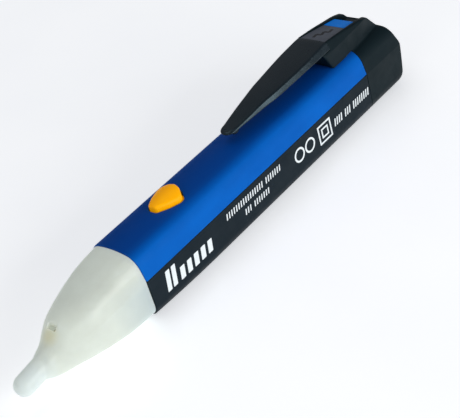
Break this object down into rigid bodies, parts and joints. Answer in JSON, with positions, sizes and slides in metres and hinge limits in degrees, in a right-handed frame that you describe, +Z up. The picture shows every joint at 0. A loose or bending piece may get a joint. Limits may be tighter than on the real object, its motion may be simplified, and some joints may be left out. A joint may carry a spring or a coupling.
{
  "type": "non contact voltage tester",
  "caption": "Pocket pen that senses live wires: a frosted sensing nose, a two-tone shell with a push button, and an end cap with a pocket clip.",
  "frame": {"origin": "under the middle of the pen, on the flat it rests on", "axes": "+X along the pen from the sensing tip to the end cap, +Z up towards the button and clip, +Y across"},
  "size_m": [0.155, 0.0186, 0.0288],
  "materials": {
    "black_shell": "fine grain, satin",
    "blue_shell": "fine grain, satin",
    "frosted_nose": "frosted translucent",
    "orange_button": "smooth, satin",
    "black_cap": "fine grain, satin",
    "black_clip": "polished, semi-gloss",
    "grey_panel": "fine grain",
    "blue_badge": "glossy",
    "black_part": "moulded",
    "resistor_black": "glazed",
    "ceramic_tan": "fired",
    "green_board": "solder mask",
    "spring_steel": "plated",
    "nickel_plate": "nickel plated",
    "cell_steel": "plated",
    "tinned_wire": "tinned",
    "copper_wire": "bare copper",
    "white_sleeve": "smooth",
    "red_lens": "clear moulded",
    "clear_lens": "clear moulded",
    "cell_wrap": "shrunk film",
    "cell_filling": "packed powder"
  },
  "bodies": {
    "body": {"lower_shell": "black_shell", "upper_shell": "blue_shell", "nose_cone": "frosted_nose", "switch_dome": "spring_steel", "switch_base": "black_part", "switch_cover": "spring_steel", "circuit_board": "green_board", "logic_chip": "black_part", "transistors": "black_part", "resistors": "resistor_black", "capacitors": "ceramic_tan", "buzzer": "black_part", "buzzer_pins": "tinned_wire", "alarm_led": "red_lens", "torch_led": "clear_lens", "led_leads": "tinned_wire", "antenna": "copper_wire", "antenna_sleeve": "white_sleeve", "front_contact": "nickel_plate", "return_strip": "nickel_plate", "cell_1_can": "cell_steel", "cell_1_core": "cell_filling", "cell_1_sleeve": "cell_wrap", "cell_2_can": "cell_steel", "cell_2_core": "cell_filling", "cell_2_sleeve": "cell_wrap"},
    "button": {"power_button": "orange_button", "switch_plunger": "black_part"},
    "cap": {"end_cap": "black_cap", "rear_contact": "nickel_plate", "rear_spring": "spring_steel", "clip_panel": "grey_panel", "clip_badge": "blue_badge"},
    "clip": {"pocket_clip": "black_clip"}
  },
  "joints": [
    {"name": "button_press", "type": "slide", "parent": "body", "child": "button", "axis": [0, 0, -1], "range_m": [0, 0.0005], "stiffness_N_per_m": 2500, "springref_m": -0.0002, "deforming": ["switch_dome"]},
    {"name": "cap_pull", "type": "slide", "parent": "body", "child": "cap", "axis": [1, 0, 0], "range_m": [0, 0.06]},
    {"name": "clip_flex", "type": "hinge", "parent": "cap", "child": "clip", "pos_m": [0.04942, 0, 0.0288], "axis": [0, 1, 0], "range_deg": [0, 5], "stiffness_Nm_per_rad": 1.9}
  ]
}
